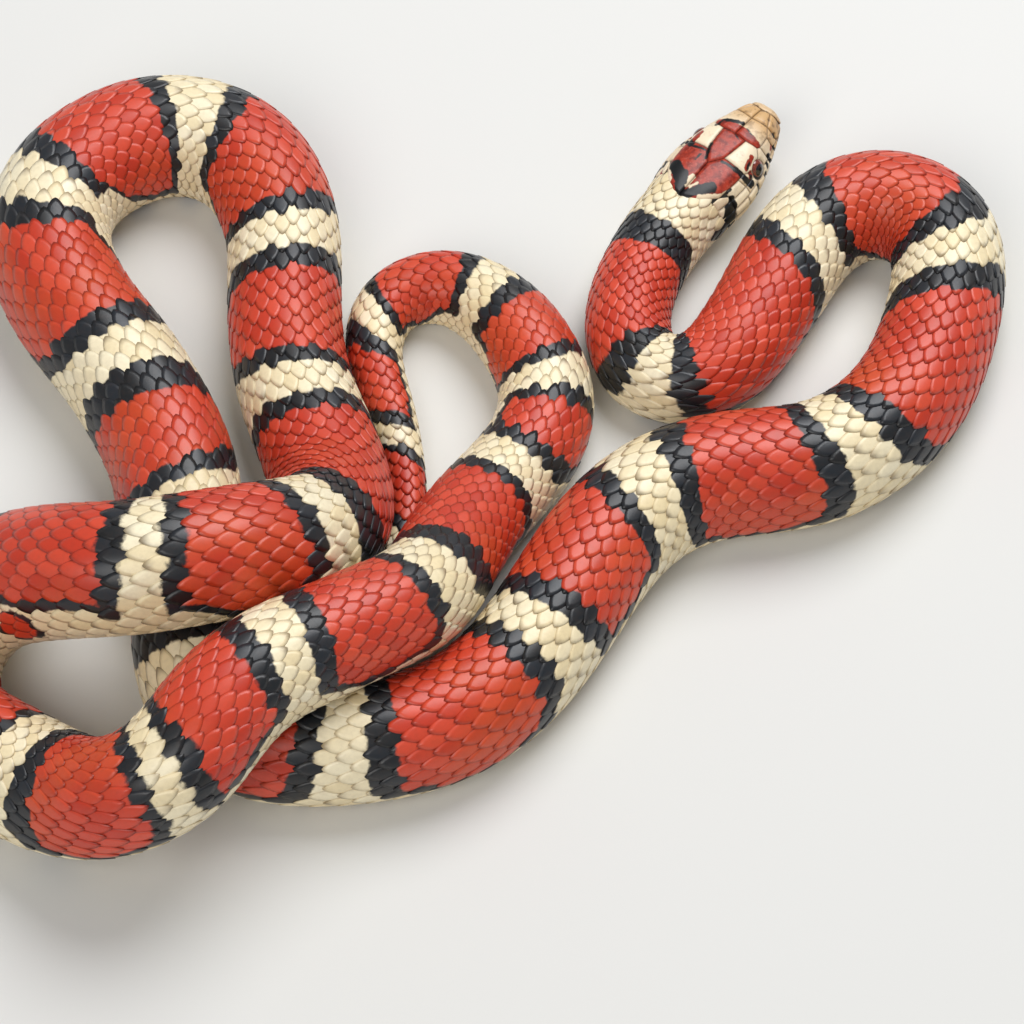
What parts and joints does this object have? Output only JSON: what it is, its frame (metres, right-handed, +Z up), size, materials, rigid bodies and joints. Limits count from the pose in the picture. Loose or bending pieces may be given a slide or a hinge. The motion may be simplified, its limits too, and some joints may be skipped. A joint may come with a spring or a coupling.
{
  "type": "milk snake",
  "caption": "Life-size still milk snake at rest in loose overlapping coils, ringed red, black and cream, head a little raised, lying on its flat belly.",
  "frame": {"origin": "middle of the bounding box at the ground that the belly lies on", "axes": "+X to the right in the picture and along the longest side of the resting animal, +Y away from the viewer, +Z up"},
  "size_m": [0.1594, 0.133, 0.0331],
  "materials": {
    "head_skin": "smooth glossy head plates, cream, red and black",
    "body_skin": "smooth satin scales in red saddles with black borders on cream",
    "eye": "wet dark gloss with a red brown iris"
  },
  "bodies": {
    "root": {"head": "head_skin", "eye_left": "eye", "eye_right": "eye", "neck": "body_skin", "body_01": "body_skin", "body_02": "body_skin", "body_03": "body_skin", "body_04": "body_skin", "body_05": "body_skin", "body_06": "body_skin", "body_07": "body_skin", "body_08": "body_skin", "body_09": "body_skin", "body_10": "body_skin", "body_11": "body_skin", "body_12": "body_skin", "body_13": "body_skin", "body_14": "body_skin", "body_15": "body_skin", "body_16": "body_skin", "tail_base": "body_skin", "tail_middle": "body_skin", "tail_tip": "body_skin"}
  },
  "joints": []
}
